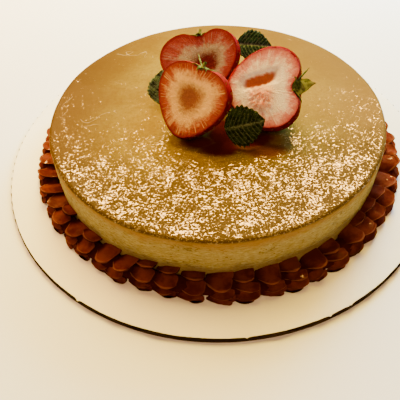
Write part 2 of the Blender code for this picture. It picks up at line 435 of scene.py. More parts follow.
def build_flan():
    height = FLAN_HIGH[2] - FLAN_LOW[2]
    middle = (0, 0, (FLAN_HIGH[2] + FLAN_LOW[2]) / 2)
    deselect_all()
    bpy.ops.mesh.primitive_cone_add(
        vertices=FLAN_SIDES, depth=height, location=middle,
        radius1=FLAN_FOOT_RADIUS, radius2=FLAN_RIM_RADIUS,
    )
    flan = bpy.context.object
    only(flan)
    bpy.ops.object.transform_apply(location=True)
    edit(flan)
    pick(flan, "EDGE", lambda e: all(abs(v.co.z - FLAN_TOP) < 0.1 * MM for v in e.verts))
    bpy.ops.mesh.bevel(offset=RIM_ROUND, segments=5, profile=0.5)
    pick(flan, "EDGE", lambda e: abs(e.verts[0].co.z - e.verts[1].co.z) > 20 * MM)
    bpy.ops.mesh.subdivide(number_cuts=WALL_CUTS)
    pick(flan, "FACE", lambda f: f.calc_area() > 0.02 and f.normal.z > 0.9)
    for _ in range(int((FLAN_RIM_RADIUS - 6 * MM) / SKIN_RING)):
        bpy.ops.mesh.inset(thickness=SKIN_RING)
    bpy.ops.mesh.poke()
    bpy.ops.object.mode_set(mode="OBJECT")
    clouds(flan, ("swell", 34 * MM, 0.8 * MM), ("lumps", 9 * MM, 0.20 * MM), ("grain", 3.5 * MM, 0.10 * MM))
    flan.data.materials.append(custard_finish())
    return finish_piece(flan, "custard_disc", "flan", "flan")


build_flan()


# ---- Cake board ----------------------------------------------------------------------------------

BOARD_RADIUS = (BOARD_HIGH[0] - BOARD_LOW[0]) / 2
BOARD_BASE = BOARD_LOW[2]
LINER = 0.5 * MM
FLUTE_PITCH = 7.6 * MM
FLUTE_STEPS = 16
FLUTE_WALL = 0.28 * MM
FLUTE_SETBACK = 0.3 * MM
FACE_SETBACK = 0.8 * MM
RIM_SIDES = 720
WHITE_CARD = (0.88, 0.85, 0.75)
# Kraft far darker than real kraft: painted shade for the board's shaded edge and the flutes between the
# liners
KRAFT_IN_SHADE = (0.050, 0.033, 0.017)
SHADED_KRAFT = (0.022, 0.014, 0.008)
# Knocks that fold the face over the edge: (degrees from +X, how far along the rim, how far out)
RIM_NICKS = (
    (-121.5, 1.2 * MM, 0.9 * MM),
    (-84.0, 1.0 * MM, 0.5 * MM),
    (-66.0, 0.9 * MM, 0.6 * MM),
    (-61.0, 1.8 * MM, 0.7 * MM),
    (-24.5, 1.3 * MM, 0.6 * MM),
    (-19.0, 1.0 * MM, 0.5 * MM),
    (163.0, 1.4 * MM, 0.6 * MM),
)


def card_finish(name, colour, roughness, fibre_depth):
    mix = Finish(name, Roughness=roughness, Specular_Ior_Level=0.0)
    blotch = mix.noise(60 * MM, 3, 0.5)
    darker = tuple(c * 0.94 for c in colour)
    shade = mix.mix(mix.ramp(blotch, 0.35, 0.65), darker, colour)
    fibre = mix.noise(1.2 * MM, 3, 0.6)
    shade = mix.mix(mix.ramp(fibre, 0.55, 0.75, 0, 0.25), shade, tuple(c * 0.88 for c in colour))
    mix.set(Base_Color=shade, Normal=mix.relief(mix.noise(2.4 * MM, 3, 0.6), fibre_depth))
    return mix.material


def build_liner(low, high, radius, finish):
    deselect_all()
    bpy.ops.mesh.primitive_cylinder_add(
        vertices=RIM_SIDES, radius=radius, depth=high - low, location=(0, 0, (low + high) / 2)
    )
    liner = bpy.context.object
    only(liner)
    bpy.ops.object.transform_apply(location=True)
    edit(liner)
    pick(liner, "EDGE", lambda e: abs(e.verts[0].co.z - e.verts[1].co.z) < 0.01 * MM)
    bpy.ops.mesh.bevel(offset=0.16 * MM, segments=2, profile=0.5)
    pick(liner, "FACE", lambda f: f.calc_area() > 0.02)
    for width in (0.8 * MM, 1.2 * MM, 3 * MM, 8 * MM, 40 * MM):
        bpy.ops.mesh.inset(thickness=width)
    bpy.ops.object.mode_set(mode="OBJECT")
    liner.data.materials.append(finish)
    return liner


def press_rim(liner):
    """The cut rolls the rim down a little, and knocks fold it over the edge."""
    places = vertices_of(liner)
    radius = np.hypot(places[:, 0], places[:, 1])
    angle = np.arctan2(places[:, 1], places[:, 0])
    near = smooth_step(radius, BOARD_RADIUS - 5 * MM, BOARD_RADIUS - FACE_SETBACK)
    wave = np.array([noise.noise(Vector((math.cos(a), math.sin(a), 0)) * 9) for a in angle])
    fray = np.array([noise.noise(Vector((math.cos(a), math.sin(a), 0)) * 110) for a in angle])
    places[:, 2] -= near * (0.22 + 0.12 * wave + 0.05 * fray) * MM
    pull = near * (0.15 * wave + 0.12 * fray - 0.2) * MM
    for degrees, width, depth in RIM_NICKS:
        apart = (angle - math.radians(degrees) + math.pi) % math.tau - math.pi
        knock = np.exp(-((apart * BOARD_RADIUS / width) ** 2))
        knock *= smooth_step(radius, BOARD_RADIUS - 3 * MM, BOARD_RADIUS - FACE_SETBACK)
        pull += knock * depth
        places[:, 2] -= knock * depth * 0.7
    scale = 1 + np.minimum(pull, FACE_SETBACK - 0.05 * MM) / np.maximum(radius, 1 * MM)
    places[:, 0] *= scale
    places[:, 1] *= scale
    move_vertices(liner, places)


def build_flutes(low, high, finish):
    """The wavy sheet between the liners; its flutes run along X."""
    rows = int(2 * BOARD_RADIUS / FLUTE_PITCH * FLUTE_STEPS)
    deselect_all()
    bpy.ops.mesh.primitive_grid_add(x_subdivisions=1, y_subdivisions=rows, size=2)
    sheet = bpy.context.object
    places = vertices_of(sheet)
    reach = BOARD_RADIUS - FLUTE_SETBACK
    places[:, 1] *= reach * 0.9995
    places[:, 0] *= np.sqrt(np.maximum(reach**2 - places[:, 1] ** 2, 0))
    wave = np.sin(math.tau * (places[:, 1] + reach) / FLUTE_PITCH - math.pi / 2)
    places[:, 2] = (low + high) / 2 + wave * (high - low - FLUTE_WALL) / 2
    move_vertices(sheet, places)
    apply_modifier(sheet, "paper", "SOLIDIFY", thickness=FLUTE_WALL, offset=0)
    sheet.data.materials.append(finish)
    return sheet


def build_board():
    white = card_finish("white_coated_card", WHITE_CARD, 0.42, 0.02 * MM)
    kraft_shaded = card_finish("kraft_card_shaded", KRAFT_IN_SHADE, 0.8, 0.08 * MM)
    shaded_kraft = card_finish("kraft_flutes_shaded", SHADED_KRAFT, 0.8, 0.08 * MM)
    top = build_liner(BOARD_TOP - LINER, BOARD_TOP, BOARD_RADIUS - FACE_SETBACK, white)
    press_rim(top)
    finish_piece(top, "board_face", "board", "cake_board")
    base = build_liner(BOARD_BASE, BOARD_BASE + LINER, BOARD_RADIUS, kraft_shaded)
    finish_piece(base, "board_back", "board", "cake_board")
    flutes = build_flutes(BOARD_BASE + LINER, BOARD_TOP - LINER, shaded_kraft)
    finish_piece(flutes, "board_flutes", "board", "cake_board", angle=60)


build_board()


# ---- Piped border --------------------------------------------------------------------------------

BORDER_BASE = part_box("piped_border")[0][2]
SHELLS = 54
SHELL_SEED = 54
SHELL_KINDS = 6
# Where the lobes of each kind of shell meet, as degrees round from the board to the flan's wall
SHELL_STEPS = (
    (100, 46, 24, 8, -4),
    (104, 64, 34, 12, -4),
    (98, 38, 20, 4, -6),
    (104, 74, 40, 16, -4),
    (100, 42, 12, -6),
    (102, 56, 36, 18, -2),
)
SHELL_OUT = 14.0 * MM
SHELL_UP = 9.8 * MM
LOBE_THICK = 3.2 * MM
LOBE_LIP = 0.9 * MM
LOBE_LENGTH = 15.5 * MM
LOBE_OVERLAP = 1.18
LOBE_TUCK = 0.4 * MM
CORE_OUT = 6.4 * MM
CORE_GIRTH = 5.7 * MM
CORE_MIDDLE = 2.6 * MM
CORE_FLATTEN = 0.50
# Dulce de leche: its darker and paler patches, the painted shade between the lobes, and the thin crests,
# paler partly as thin dulce and partly as a painted highlight
DULCE = dict(
    deep=(0.060, 0.0085, 0.0036),
    light=(0.115, 0.0230, 0.0095),
    shade_between_lobes=(0.024, 0.0016, 0.0007),
    crest=(0.200, 0.075, 0.036),
)


def dulce_finish():
    """Dark, wet dulce de leche; it is palest on the thin crests, partly as thin dulce and partly as a
    painted highlight, and darkest between the lobes, as painted shade.
    """
    mix = Finish("dulce_de_leche", Roughness=0.45, Specular_Ior_Level=0.0, Coat_Roughness=0.10)
    shade = mix.mix(mix.ramp(mix.noise(9 * MM, 3, 0.6), 0.35, 0.65), DULCE["deep"], DULCE["light"])
    # Painted shade: darker between the lobes, under them and on the core behind them
    shade = mix.mix(mix.times(mix.painted("shade_between_lobes"), 0.85), shade, DULCE["shade_between_lobes"])
    # Paler crests: partly thin dulce, partly a painted highlight along them
    shade = mix.mix(mix.ramp(mix.painted("crest"), 0.15, 1.0, 0, 0.48), shade, DULCE["crest"])
    mix.set(Base_Color=shade, Normal=mix.relief(mix.noise(2.2 * MM, 3, 0.6), 0.14 * MM))
    wet = mix.ramp(mix.noise(4 * MM, 2, 0.6), 0.62, 0.72, 0.004, 0.40)
    mix.set(Coat_Weight=mix.times(wet, mix.ramp(mix.painted("shade_between_lobes"), 0.1, 0.6, 1.0, 0.0)))
    return mix.material


def build_lobe(width, thick, length, lip):
    """One lobe, tail at -X and blunt end at +X, its face upwards and its lip towards +Y."""
    deselect_all()
    bpy.ops.mesh.primitive_uv_sphere_add(
        segments=24, ring_count=17, radius=1, rotation=(0, math.radians(90), 0)
    )
    lobe = bpy.context.object
    only(lobe)
    bpy.ops.object.transform_apply(rotation=True)
    places = vertices_of(lobe)
    along, across, up = places.T
    ring = np.sqrt(np.maximum(1 - along**2, 0))
    turn = np.arctan2(up, across)
    share = (1 + along) / 2
    swell = ring**0.42 * (0.55 + 0.45 * smooth_step(share, 0.0, 0.6))
    face = np.cos(turn)
    squared = np.sign(face) * np.abs(face) ** 0.7
    edge = np.exp(-(((squared - 0.95) / 0.11) ** 2)) * (np.sin(turn) > -0.2)
    height = np.sin(turn) * np.where(np.sin(turn) > 0, 0.16, 0.75) * thick * swell
    # The face is a little hollow between its top and its lip
    height -= (np.sin(turn) > 0) * 0.16 * thick * np.cos(squared * math.pi / 2) ** 2 * swell
    height += edge * lip * np.minimum(ring * 1.6, 1) * (0.5 + 0.5 * share)
    # The tail sinks under the shell before it
    height -= 2.0 * MM * (1 - smooth_step(share, 0.0, 0.5))
    shaped = np.stack([(share - 0.5) * length, squared * width / 2 * swell, height], axis=1)
    shaped[:, 1] += 1.0 * MM * np.sin(math.pi * share)
    move_vertices(lobe, shaped)
    blunt = np.exp(-(((along - 0.93) / 0.07) ** 2)) * (up > -0.1)
    # Crests marked to be paler: partly thin dulce, partly a painted highlight
    paint(lobe, "crest", np.maximum(edge * np.minimum(ring * 1.4, 1), 0.55 * blunt))
    # Painted shade: undersides and the tail under the shell before it are marked for the dark shade colour
    under = (np.sin(turn) < -0.25).astype(float)
    paint(lobe, "shade_between_lobes", np.maximum(under, 1 - smooth_step(share, 0.05, 0.40)))
    return lobe


def build_shell(kind):
    """Lobes stacked like steps from the flan down to the board."""
    loose = random.Random(SHELL_SEED + kind)
    steps = [math.radians(a + loose.uniform(-3, 3)) for a in SHELL_STEPS[kind]]
    corners = [(SHELL_OUT * math.cos(a), SHELL_UP * math.sin(a)) for a in steps]
    lobes = []
    for (near, high), (far, low) in zip(corners, corners[1:]):
        slope = math.hypot(far - near, high - low)
        lean = math.atan2(high - low, far - near) - math.radians(loose.uniform(12, 30))
        lobe = build_lobe(
            slope * LOBE_OVERLAP + 1.6 * MM,
            LOBE_THICK * loose.uniform(0.85, 1.15),
            LOBE_LENGTH * loose.uniform(0.84, 1.08),
            LOBE_LIP * loose.uniform(0.7, 1.25),
        )
        dip, swing = math.radians(loose.uniform(-9, 3)), math.radians(loose.uniform(-15, 13))
        lobe.rotation_euler = (-lean, dip, swing)
        aside = loose.uniform(-2.0, 2.0) * MM
        lobe.location = (aside, (near + far) / 2 - LOBE_TUCK, (high + low) / 2 - LOBE_TUCK)
        lobes.append(lobe)
    shell = join_all(lobes)
    bpy.ops.object.transform_apply(location=True, rotation=True, scale=True)
    return shell


def build_core():
    """What lies behind the lobes, against the flan and on the board."""
    middle = (0, 0, BORDER_BASE + CORE_MIDDLE)
    deselect_all()
    bpy.ops.mesh.primitive_torus_add(
        major_segments=216, minor_segments=12, location=middle,
        major_radius=FLAN_FOOT_RADIUS + CORE_OUT, minor_radius=CORE_GIRTH,
    )
    core = bpy.context.object
    only(core)
    bpy.ops.object.transform_apply(location=True)
    edit(core)
    bpy.ops.mesh.select_all(action="SELECT")
    bpy.ops.transform.resize(value=(1, 1, CORE_FLATTEN), center_override=middle)
    bpy.ops.object.mode_set(mode="OBJECT")
    paint(core, "crest", np.zeros(len(core.data.vertices)))
    # Painted shade: the whole core behind the lobes takes the dark shade colour
    paint(core, "shade_between_lobes", np.ones(len(core.data.vertices)))
    return core


def build_border():
    loose = random.Random(SHELL_SEED)
    wall = FLAN_FOOT_RADIUS + 0.3 * MM
    kinds = [build_shell(kind) for kind in range(SHELL_KINDS)]
    shells = [build_core()]
    for place in range(SHELLS):
        shell = copy_of(loose.choice(kinds))
        size = loose.uniform(0.93, 1.03)
        turn = math.tau * (place + 0.5 + loose.uniform(-0.08, 0.08)) / SHELLS
        # The shell's +Y points away from the flan and its +X follows the ring round to the left
        shell.matrix_world = (
            Matrix.Rotation(turn, 4, "Z")
            @ Matrix.Translation((wall, 0, BORDER_BASE))
            @ Matrix(((0, 1, 0, 0), (1, 0, 0, 0), (0, 0, 1, 0), (0, 0, 0, 1)))
            @ Matrix.Diagonal((size, size, size * loose.uniform(0.92, 1.04), 1))
        )
        only(shell)
        bpy.ops.object.transform_apply(location=True, rotation=True, scale=True)
        shells.append(shell)
    for kind in kinds:
        bpy.data.objects.remove(kind)
    border = join_all(shells)
    edit(border)
    bpy.ops.mesh.select_all(action="SELECT")
    bpy.ops.mesh.normals_make_consistent(inside=False)
    bpy.ops.object.mode_set(mode="OBJECT")
    clouds(border, ("squeeze", 7 * MM, 1.5 * MM), ("drag", 2.6 * MM, 0.30 * MM))
    places = vertices_of(border)
    places[:, 2] = np.clip(places[:, 2], BORDER_BASE - 0.2 * MM, None)
    move_vertices(border, places)
    border.data.materials.clear()
    border.data.materials.append(dulce_finish())
    return finish_piece(border, "piped_shells", "dulce_de_leche", "piped_border", angle=60)


build_border()


# ---- Strawberries --------------------------------------------------------------------------------

DIMPLE_SPREAD = 0.34
# Each piece in its own frame: stalk end on +Z, cut face towards -Y (angles in degrees)
BERRIES = {
    "front": dict(
        size=(46 * MM, 18 * MM, 48.5 * MM), shoulder=0.30, dimple=0.11, cut=5 * MM,
        middle=(-14 * MM, -25 * MM, 21.7 * MM), spin=8, lean=35, yaw=-26,
    ),
    "right": dict(
        size=(51 * MM, 18 * MM, 51 * MM), shoulder=0.20, dimple=0.29, cut=7 * MM,
        middle=(32 * MM, -15 * MM, 22.3 * MM), spin=75, lean=43, yaw=-23,
    ),
    "back": dict(
        size=(58 * MM, 23 * MM, 46.5 * MM), shoulder=0.30, dimple=0.15, cut=6 * MM,
        middle=(-7.5 * MM, 17 * MM, 21.6 * MM), spin=-18, lean=41, yaw=-21, right_side=0.86,
    ),
}
# Where the core shows on each cut face: (across, up) and its half width and half height
CORES = {
    "front": (-0.5 * MM, 2.6 * MM, 8.5 * MM, 9.5 * MM),
    "right": (0.5 * MM, -3 * MM, 9 * MM, 13 * MM),
    "back": (5.7 * MM, -2.4 * MM, 8 * MM, 6.5 * MM),
}
FLESH = {
    "front": dict(
        core=(0.29, 0.095, 0.040), ring=(0.98, 0.62, 0.17),
        outer=(0.44, 0.090, 0.042), rim=(0.22, 0.016, 0.014),
        heart=0.36, pale=0.58, streaks=0.36, teeth=0.65,
    ),
    # The right piece's flesh is near white: partly its own pale flesh, partly a painted sheen on its
    # upturned face
    "right": dict(
        core=(0.90, 0.58, 0.48), ring=(1.0, 0.92, 0.86),
        outer=(0.74, 0.31, 0.31), rim=(0.42, 0.060, 0.095),
        heart=0.20, pale=0.60, streaks=0.55, teeth=0.45,
    ),
    # The back piece's flesh is painted darker and greyer than the others: a painted shade, as it sits in
    # shade
    "back": dict(
        core=(0.115, 0.012, 0.010), ring=(0.40, 0.37, 0.34),
        outer=(0.31, 0.062, 0.070), rim=(0.20, 0.013, 0.020),
        heart=0.44, pale=0.54, streaks=0.36, teeth=0.35,
    ),
}
HOLLOW_FLESH = (0.50, 0.135, 0.060)
LUMP_FLESH = (0.78, 0.25, 0.15)
RED_SKIN = dict(
    deep=(0.09, 0.0015, 0.002),
    light=(0.18, 0.006, 0.007),
    pale_end=(0.22, 0.035, 0.020),
    pit=(0.10, 0.002, 0.002),
)
SEED_BROWN = (0.17, 0.055, 0.016)
# How far the cut edge is notched where the crown sits: half width and depth
NOTCHES = {"front": (4 * MM, 1.2 * MM), "right": (5.5 * MM, 4.5 * MM), "back": (7 * MM, 3.6 * MM)}


def berry_pose(berry):
    x, y, z = berry["middle"]
    lean, spin, yaw = (math.radians(berry[k]) for k in ("lean", "spin", "yaw"))
    turn = Matrix.Rotation(yaw, 4, "Z") @ Matrix.Rotation(-lean, 4, "X") @ Matrix.Rotation(spin, 4, "Y")
    return Matrix.Translation((x, y, FLAN_TOP + z)) @ turn


def on_skin(berry, directions):
    """Where each direction from the berry's middle meets its skin."""
    width, depth, length = berry["size"]
    unit = directions / np.linalg.norm(directions, axis=1)[:, None]
    polar = np.arccos(np.clip(unit[:, 2], -1, 1))
    angle = np.arctan2(unit[:, 1], unit[:, 0])
    ring = np.sin(polar) * (1 + berry["shoulder"] * np.cos(polar))
    dimple = berry["dimple"] * np.exp(-((np.sin(polar) / DIMPLE_SPREAD) ** 2))
    height = np.cos(polar) - np.where(polar < math.pi / 2, dimple, 0)
    across, outwards = width / 2 * ring * np.cos(angle), depth * ring * np.sin(angle)
    return np.stack([across, outwards, length / 2 * height], axis=1)


def flesh_finish(name, look, core):
    """Cut flesh: a fuzzy core, a pale ring, and mottled streaks that run out to the red rim."""
    mix = Finish(name, Roughness=0.45, Specular_Ior_Level=0.0, Coat_Weight=0.01, Coat_Roughness=0.2)
    where = mix.node("Attribute", attribute_name="berry_place").outputs["Vector"]
    x, _, z = mix.split(where)
    across = mix.minus(x, core[0])
    up = mix.minus(z, core[1])
    flat = mix.node("CombineXYZ", across, up, 0.0).outputs[0]
    ray = mix.node("VectorMath", flat, operation="NORMALIZE").outputs[0]
    streaks = mix.noise(0.22, 3, 0.6, where=ray, distort=0.6)
    fine = mix.noise(0.075, 2, 0.6, where=ray, distort=0.4)
    out = mix.painted("outward")
    speck = mix.noise(0.9 * MM, 3, 0.7)
    fuzz = mix.noise(2.0 * MM, 4, 0.75)
    mottle = mix.noise(4.5 * MM, 3, 0.65)
    fuzzy = mix.plus(out, mix.drift(fuzz, 0.36))
    shade = mix.ramp(fuzzy, look["heart"] - 0.20, look["heart"] + 0.16)
    shade = mix.mix(shade, look["core"], look["ring"])
    # Streaks, mottling and specks each shift where the flesh turns red
    streaked = mix.plus(out, mix.drift(streaks, look["streaks"]))
    streaked = mix.plus(streaked, mix.drift(mottle, 0.50))
    streaked = mix.plus(streaked, mix.drift(fuzz, 0.35))
    shade = mix.mix(mix.ramp(streaked, look["pale"] - 0.10, look["pale"] + 0.26), shade, look["outer"])
    redder = mix.plus(out, mix.drift(mottle, 0.45))
    shade = mix.mix(mix.ramp(redder, 0.70, 1.05, 0, 0.8), shade, look["rim"])
    # Short pale teeth point at the rim
    teeth = mix.times(mix.ramp(fine, 0.50, 0.74, 0, look["teeth"]), mix.ramp(out, 0.60, 0.80))
    teeth = mix.times(teeth, mix.ramp(out, 0.88, 0.97, 1.0, 0.0))
    shade = mix.mix(teeth, shade, look["ring"])
    shade = mix.mix(mix.ramp(out, 0.93, 1.0), shade, look["rim"])
    shade = mix.mix(mix.ramp(speck, 0.52, 0.80, 0, 0.28), shade, look["outer"])
    torn = mix.ramp(mix.plus(speck, fuzz), 0.80, 1.12, 0.30, 1.0)
    fibres = mix.times(mix.painted("lump"), torn)
    shade = mix.mix(fibres, shade, LUMP_FLESH)
    shade = mix.mix(mix.painted("hollow"), shade, HOLLOW_FLESH)
    mix.set(Base_Color=shade)
    ridges = mix.plus(mix.times(fine, 0.7), mix.plus(speck, fuzz))
    mix.set(Normal=mix.relief(ridges, 0.6 * MM))
    return mix.material


def skin_finish():
    gloss = dict(Coat_Weight=0.015, Coat_Roughness=0.2)
    mix = Finish("strawberry_skin", Roughness=0.4, Specular_Ior_Level=0.0, **gloss)
    shade = mix.mix(mix.ramp(mix.noise(11 * MM, 3, 0.6), 0.35, 0.65), RED_SKIN["deep"], RED_SKIN["light"])
    shade = mix.mix(mix.painted("pale_end"), shade, RED_SKIN["pale_end"])
    # Painted shade: the skin is darker in the seed pits
    shade = mix.mix(mix.painted("pit"), shade, RED_SKIN["pit"])
    mix.set(Base_Color=shade, Normal=mix.relief(mix.noise(1.8 * MM, 2, 0.5), 0.10 * MM))
    return mix.material


SKIN = skin_finish()
SEED_FINISH = Finish("seed", Base_Color=SEED_BROWN, Roughness=0.5, Specular_Ior_Level=0.0).material
SEED_SPACING = 5.2 * MM
SEED_HALF_SIZE = (0.55 * MM, 0.85 * MM, 0.35 * MM)
SEED_SINK = 0.25 * MM
PIT_RADIUS = 1.1 * MM
PIT_DEPTH = 0.55 * MM


def seed_places(berry):
    """Seeds in rows round the berry, each row a half step on from the last."""
    length = berry["size"][2]
    places = []
    rows = int(length * 1.25 / SEED_SPACING)
    for row in range(rows):
        polar = math.radians(26 + 140 * row / (rows - 1))
        ring = math.sin(polar)
        girth = math.pi * berry["size"][0] * 0.86 * ring
        count = max(3, round(girth / SEED_SPACING))
        for step in range(count):
            angle = math.tau * (step + 0.5 * (row % 2)) / count
            places.append((ring * math.cos(angle), ring * math.sin(angle), math.cos(polar)))
    found = on_skin(berry, np.array(places))
    return found[found[:, 1] > -berry["cut"] + 1.2 * MM]


def build_seeds(berry, points):
    """One low seed, copied into every pit."""
    deselect_all()
    bpy.ops.mesh.primitive_uv_sphere_add(segments=6, ring_count=4, radius=1)
    first = bpy.context.object
    seeds = []
    for point in points:
        seed = copy_of(first)
        outward = Vector(point) - Vector((0, 0, 0.1 * berry["size"][2]))
        outward.normalize()
        down = Vector((0, 0, -1)) - outward * (-outward.z)
        down.normalize()
        side = outward.cross(down)
        turn = Matrix((side, down, outward)).transposed().to_4x4()
        sunk = Matrix.Translation(Vector(point) - outward * SEED_SINK)
        seed.matrix_world = sunk @ turn @ Matrix.Diagonal((*SEED_HALF_SIZE, 1))
        seeds.append(seed)
    bpy.data.objects.remove(first)
    made = join_all(seeds)
    bpy.ops.object.transform_apply(location=True, rotation=True, scale=True)
    return made


def torn_core(places, ragged):
    """A hollow that slants across the face, and the fibrous lump that was torn out beside it."""
    across, up = places[:, 0], places[:, 2] + 2.8 * MM
    sideways = (across + 5.2 * MM + 0.24 * up + ragged * 1.3 * MM) / (3.7 * MM)
    hollow = np.exp(-(np.abs(sideways) ** 3 + np.abs(up / (10.6 * MM)) ** 4))
    beside, above = (across - 6.6 * MM) / (6.8 * MM), (up - 1.3 * MM) / (8.0 * MM)
    return hollow, np.exp(-(beside**4 + above**4))


def build_berry(name, berry):
    deselect_all()
    bpy.ops.mesh.primitive_uv_sphere_add(
        segments=160, ring_count=100, radius=1, rotation=(math.radians(90), 0, 0)
    )
    half = bpy.context.object
    only(half)
    bpy.ops.object.transform_apply(rotation=True)
    move_vertices(half, on_skin(berry, vertices_of(half)))
    cut, length = berry["cut"], berry["size"][2]
    edit(half)
    bpy.ops.mesh.select_all(action="SELECT")
    bpy.ops.mesh.bisect(plane_co=(0, -cut, 0), plane_no=(0, -1, 0))
    pick(half, "VERT", lambda v: v.co.y < -cut - 0.001 * MM)
    bpy.ops.transform.resize(value=(1, 0, 1), center_override=(0, -cut, 0))
    bpy.ops.object.mode_set(mode="OBJECT")
    places = vertices_of(half)
    on_face = places[:, 1] < -cut + 0.002 * MM
    # How far out each point lies, from 0 at the core to 1 at the rim
    core_x, core_z, core_wide, core_high = CORES[name]
    rim = rim_places(half, cut)
    from_rim = np.array([np.hypot(rim[:, 0] - p[0], rim[:, 2] - p[2]).min() for p in places])
    from_core = np.hypot((places[:, 0] - core_x) / core_wide, (places[:, 2] - core_z) / core_high)
    reach = from_core / (from_core + from_rim / (7.5 * MM) + 1e-6)
    paint(half, "outward", np.where(on_face, reach, 1.0))
    paint(half, "berry_place", places, "FLOAT_VECTOR")
    points = seed_places(berry)
    nearest = np.full(len(places), 1.0)
    for point in points:
        nearest = np.minimum(nearest, np.linalg.norm(places - point, axis=1))
    pit = np.where(on_face, 0, np.exp(-((nearest / PIT_RADIUS) ** 2)))
    paint(half, "pit", pit)
    top = smooth_step(places[:, 2], 0.36 * length, 0.50 * length)
    paint(half, "pale_end", top * 0.8)
    inwards = -places / np.linalg.norm(places, axis=1)[:, None]
    places += inwards * (pit * PIT_DEPTH)[:, None]
    for spots in (places, points):
        spots[:, 0] *= np.where(spots[:, 0] > 0, berry.get("right_side", 1.0), 1.0)
    hollow = lump = np.zeros(len(places))
    if name == "right":
        ragged = roughness_at(places, 2.2 * MM)
        hollow, lump = torn_core(places, ragged)
        places[:, 1] += np.where(on_face, hollow * 3.6 * MM - lump * (1.2 + 0.9 * ragged) * MM, 0)
    else:
        sunk = np.exp(-(from_core**2))
        places[:, 1] += np.where(on_face, sunk * 0.7 * MM, 0)
    paint(half, "hollow", np.where(on_face, smooth_step(hollow, 0.30, 0.75), 0))
    paint(half, "lump", np.where(on_face, lump, 0))
    wide, deep = NOTCHES[name]
    notch = np.exp(-((places[:, 0] / wide) ** 2) - ((places[:, 1] + cut) / (9 * MM)) ** 2)
    notch *= smooth_step(places[:, 2], 0.18 * length, 0.42 * length)
    places[:, 2] -= notch * deep
    grain = roughness_at(places, 1.6 * MM)
    places[:, 1] += np.where(on_face & (from_rim > 0.6 * MM), grain * 0.16 * MM, 0)
    move_vertices(half, places)
    half.data.materials.append(SKIN)
    half.data.materials.append(flesh_finish("flesh_" + name, FLESH[name], CORES[name]))
    flesh_faces = [all(on_face[v] for v in face.vertices) for face in half.data.polygons]
    half.data.polygons.foreach_set("material_index", np.array(flesh_faces, dtype=np.int32))
    seeds = build_seeds(berry, points)
    seeds.data.materials.clear()
    seeds.data.materials.append(SEED_FINISH)
    for made in (half, seeds):
        made.matrix_world = berry_pose(berry)
    finish_piece(half, "berry_" + name, "strawberry", "strawberry_" + name, angle=50)
    finish_piece(seeds, "berry_seeds_" + name, "strawberry")


def rim_places(half, cut):
    """The closed edge between skin and cut face."""
    places = vertices_of(half)
    on_plane = np.abs(places[:, 1] + cut) < 0.002 * MM
    rim = set()
    for face in half.data.polygons:
        flags = [on_plane[v] for v in face.vertices]
        if any(flags) and not all(flags):
            rim.update(v for v, flag in zip(face.vertices, flags) if flag)
    return places[sorted(rim)]


for berry_name, berry_shape in BERRIES.items():
    build_berry(berry_name, berry_shape)


# ---- Green crowns --------------------------------------------------------------------------------

# The sepals of each crown: turn round the stalk in degrees, length, width, how far it rises and how far
# it curls back
SEPALS = {
    "front": (
        (135, 15 * MM, 0.9 * MM, 8 * MM, 1 * MM),
        (200, 7 * MM, 2.4 * MM, 2 * MM, 2 * MM),
        (265, 6 * MM, 2.6 * MM, 1 * MM, 3 * MM),
        (20, 13 * MM, 1.8 * MM, 1 * MM, 4 * MM),
        (42, 15 * MM, 4.2 * MM, 2 * MM, 5 * MM),
        (100, 12 * MM, 3.0 * MM, 3 * MM, 5 * MM),
        (320, 6 * MM, 2.0 * MM, 2 * MM, 3 * MM),
    ),
    "right": (
        (262, 6 * MM, 9.0 * MM, 16 * MM, 1 * MM),
        (290, 5 * MM, 8.0 * MM, 12 * MM, 3 * MM),
        (184, 11 * MM, 5.0 * MM, 13 * MM, 2 * MM),
        (350, 10 * MM, 5.6 * MM, 11 * MM, 4 * MM),
        (300, 5 * MM, 1.4 * MM, 6 * MM, 5 * MM),
        (230, 8 * MM, 3.0 * MM, 7 * MM, 4 * MM),
        (40, 12 * MM, 4.5 * MM, 4 * MM, 5 * MM),
        (85, 12 * MM, 4.5 * MM, 4 * MM, 5 * MM),
        (135, 12 * MM, 4.5 * MM, 5 * MM, 5 * MM),
    ),
    "back": (
        (186, 13 * MM, 3.2 * MM, 1 * MM, 3 * MM),
        (162, 9 * MM, 2.6 * MM, 2 * MM, 4 * MM),
        (120, 12 * MM, 3.4 * MM, 2 * MM, 5 * MM),
        (75, 12 * MM, 3.4 * MM, 2 * MM, 5 * MM),
        (30, 11 * MM, 3.4 * MM, 2 * MM, 4 * MM),
        (355, 11 * MM, 3.6 * MM, 1 * MM, 3 * MM),
        (262, 8 * MM, 2.4 * MM, 1 * MM, 3 * MM),
        (300, 6 * MM, 2.0 * MM, 1 * MM, 3 * MM),
    ),
}
CROWN_LIMIT = CAD_BOX[1][2] - 0.3 * MM
CROWN_SQUASH = 9 * MM
SEPAL_THICK = 0.3 * MM
SEPAL_GREEN = dict(
    deep=(0.028, 0.042, 0.008),
    light=(0.15, 0.17, 0.050),
    dry_tip=(0.085, 0.065, 0.028),
    down=(0.20, 0.20, 0.080),
)


def crown_finish():
    mix = Finish("strawberry_crown", Roughness=0.6, Specular_Ior_Level=0.0)
    tone = mix.noise(4.5 * MM, 3, 0.6)
    shade = mix.mix(mix.ramp(tone, 0.38, 0.62), SEPAL_GREEN["deep"], SEPAL_GREEN["light"])
    shade = mix.mix(mix.painted("towards_tip"), shade, SEPAL_GREEN["dry_tip"])
    down = mix.ramp(mix.noise(0.8 * MM, 2, 0.6), 0.55, 0.75, 0, 0.4)
    shade = mix.mix(down, shade, SEPAL_GREEN["down"])
    mix.set(Base_Color=shade, Normal=mix.relief(mix.noise(0.9 * MM, 2, 0.5), 0.15 * MM))
    return mix.material


CROWN = crown_finish()


